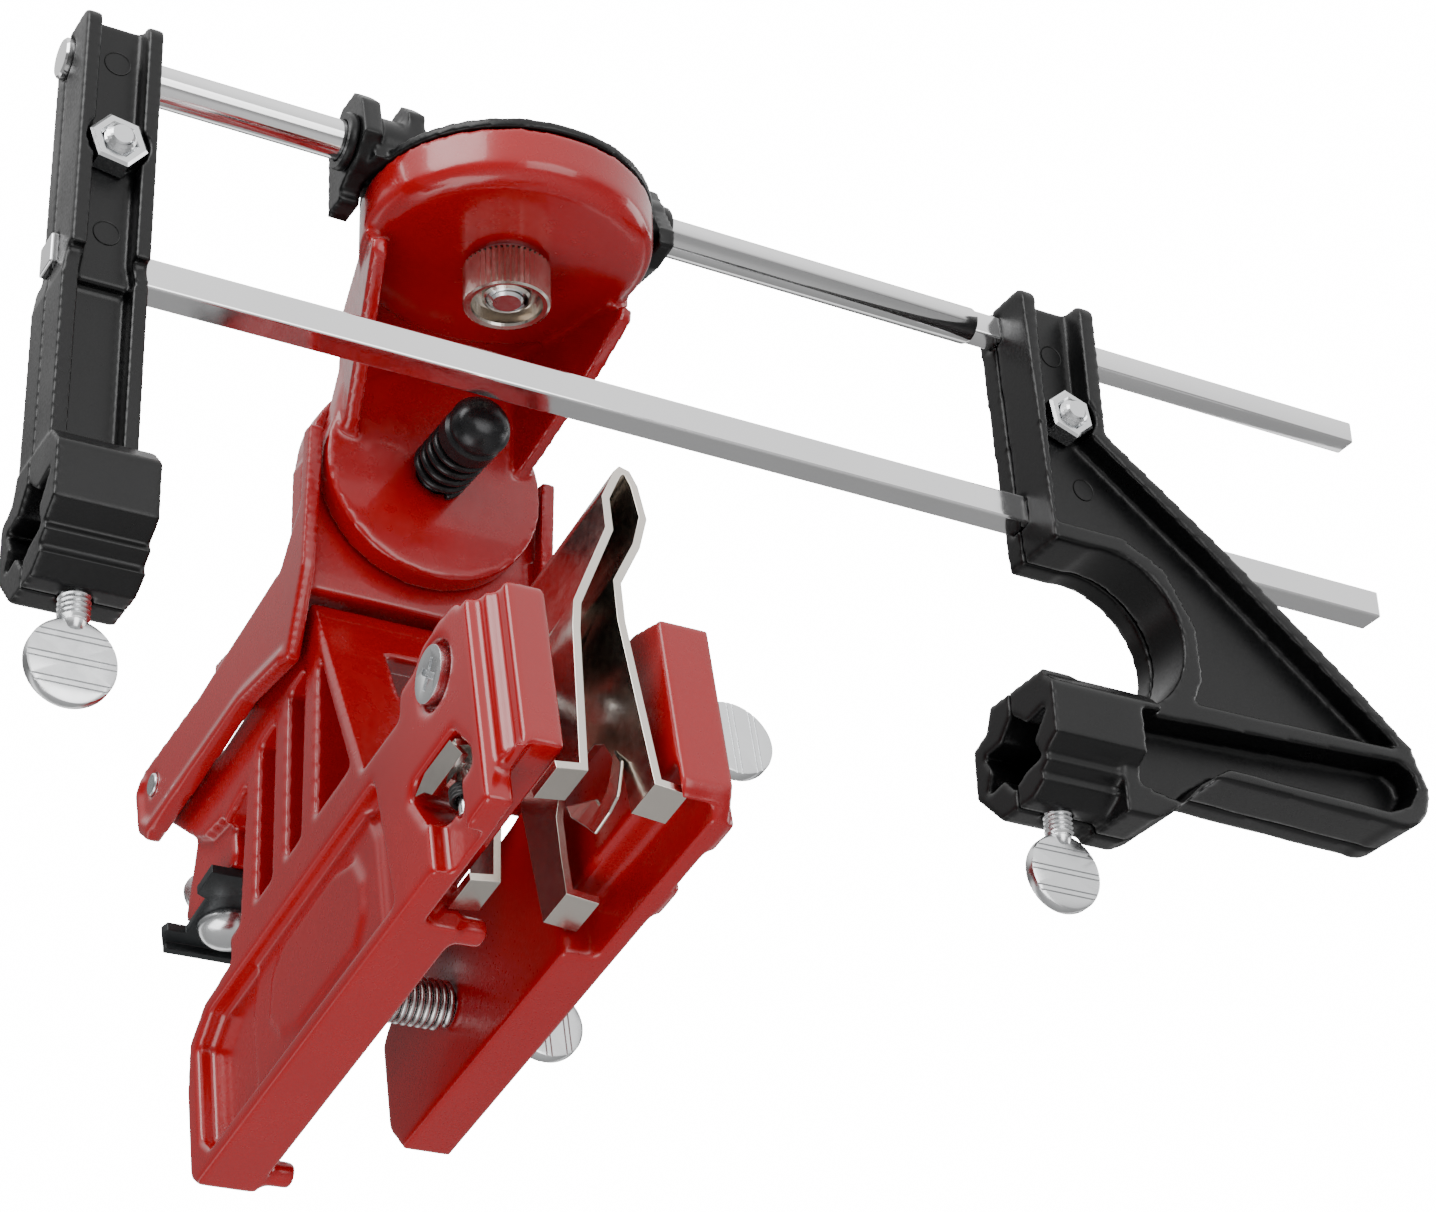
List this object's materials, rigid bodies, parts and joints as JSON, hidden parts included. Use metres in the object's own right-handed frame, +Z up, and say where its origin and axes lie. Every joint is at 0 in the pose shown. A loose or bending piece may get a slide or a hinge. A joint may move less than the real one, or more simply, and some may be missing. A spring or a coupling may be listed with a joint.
{
  "type": "chainsaw chain filing guide",
  "caption": "Clamp-on chainsaw chain filing guide: cast saw-bar clamp, hinged yoke, tilting dial head, sliding twin-bar frame and two file-holding arms.",
  "frame": {"origin": "middle of the slot that takes the saw bar, at the front clamp screw's plane and the level of the jaws' lower edge", "axes": "+X along the two steel bars, +Y along the saw bar from the front nose to the yoke's hinge, +Z up from the slot's mouth to the bars"},
  "size_m": [0.3048, 0.1647, 0.1717],
  "materials": {
    "red_enamel": "gloss enamel on die-cast metal",
    "nickel": "nickel-plated spring steel",
    "zinc": "bright zinc plate",
    "spring_steel": "drawn wire",
    "dark_plate": "satin black",
    "black_oxide": "black oxide",
    "black_nylon": "moulded glass-filled nylon, satin",
    "chrome_bars": "bright drawn and plated"
  },
  "bodies": {
    "clamp": {"clamp_body": "red_enamel", "bar_clip": "nickel", "clip_screw": "zinc", "stop_plate": "dark_plate", "stop_plate_screw": "zinc", "lock_screw": "zinc", "pawl_pin": "zinc", "pawl_spring": "spring_steel"},
    "jaw": {"right_jaw": "red_enamel", "rear_jaw_spring": "spring_steel"},
    "front_screw": {"front_clamp_screw": "zinc"},
    "rear_screw": {"rear_clamp_screw": "zinc"},
    "pawl": {"chain_pawl": "nickel"},
    "yoke": {"swing_yoke": "red_enamel", "hinge_pin": "zinc", "tilt_nut": "zinc"},
    "height_adjuster": {"height_screw": "zinc"},
    "head": {"head_bracket": "red_enamel", "lock_washer": "zinc", "tilt_spring": "black_oxide"},
    "tilt_bolt": {"tilt_screw": "black_oxide"},
    "dial_nut": {"knurled_nut": "zinc"},
    "guide": {"rod_guide": "black_nylon", "dial_bolt": "zinc"},
    "sleeves": {"guide_sleeve_left": "black_nylon", "guide_sleeve_right": "black_nylon"},
    "frame": {"round_rod": "chrome_bars", "square_bar": "chrome_bars", "left_arm": "black_nylon", "left_arm_back": "black_nylon", "left_arm_bolt": "zinc", "left_arm_nut": "zinc"},
    "left_thumb": {"left_file_screw": "zinc"},
    "right_holder": {"right_arm": "black_nylon", "right_arm_back": "black_nylon", "right_arm_bolt": "zinc", "right_arm_nut": "zinc"},
    "right_thumb": {"right_file_screw": "zinc"}
  },
  "joints": [
    {"name": "jaw_slide", "type": "slide", "parent": "clamp", "child": "jaw", "axis": [1, 0, 0], "range_m": [-0.0025, 0.002], "deforming": ["rear_jaw_spring"]},
    {"name": "front_screw_turn", "type": "hinge", "parent": "jaw", "child": "front_screw", "pos_m": [0.03, 0, 0.0372], "axis": [1, 0, 0], "continuous": true},
    {"name": "rear_screw_turn", "type": "hinge", "parent": "jaw", "child": "rear_screw", "pos_m": [0.022, 0.068, 0.017], "axis": [1, 0, 0], "continuous": true},
    {"name": "pawl_swing", "type": "hinge", "parent": "clamp", "child": "pawl", "pos_m": [-0.0175, 0.002, 0.02], "axis": [0, 0, 1], "range_deg": [-4, 4], "stiffness_Nm_per_rad": 0.05},
    {"name": "yoke_lift", "type": "hinge", "parent": "clamp", "child": "yoke", "pos_m": [0, 0.1188, 0.0965], "axis": [1, 0, 0], "range_deg": [-70, 0]},
    {"name": "height_turn", "type": "hinge", "parent": "yoke", "child": "height_adjuster", "pos_m": [0, 0.08156, 0.08892], "axis": [0, -0.1994, 0.9799], "continuous": true},
    {"name": "head_tilt", "type": "hinge", "parent": "yoke", "child": "head", "pos_m": [0, 0.03512, 0.11907], "axis": [0, 0.9799, 0.1994], "range_deg": [-12, 12]},
    {"name": "tilt_bolt_turn", "type": "hinge", "parent": "yoke", "child": "tilt_bolt", "pos_m": [0, 0.02042, 0.11608], "axis": [0, 0.9799, 0.1994], "continuous": true},
    {"name": "dial_turn", "type": "hinge", "parent": "head", "child": "guide", "pos_m": [0, -0.00755, 0.15325], "axis": [0, -0.1994, 0.9799], "range_deg": [-35, 35]},
    {"name": "dial_nut_turn", "type": "hinge", "parent": "guide", "child": "dial_nut", "pos_m": [0, -0.00416, 0.13659], "axis": [0, -0.1994, 0.9799], "continuous": true},
    {"name": "frame_roll", "type": "hinge", "parent": "guide", "child": "sleeves", "pos_m": [0, -0.00893, 0.16001], "axis": [1, 0, 0], "range_deg": [-100, 0]},
    {"name": "frame_slide", "type": "slide", "parent": "sleeves", "child": "frame", "axis": [1, 0, 0], "range_m": [-0.066, 0.036]},
    {"name": "left_thumb_turn", "type": "hinge", "parent": "frame", "child": "left_thumb", "pos_m": [-0.0828, 0.01438, 0.04546], "axis": [0, -0.1994, 0.9799], "continuous": true},
    {"name": "right_holder_slide", "type": "slide", "parent": "frame", "child": "right_holder", "axis": [1, 0, 0], "range_m": [0, 0.07]},
    {"name": "right_thumb_turn", "type": "hinge", "parent": "right_holder", "child": "right_thumb", "pos_m": [0.1214, 0.01438, 0.04546], "axis": [0, -0.1994, 0.9799], "continuous": true}
  ]
}
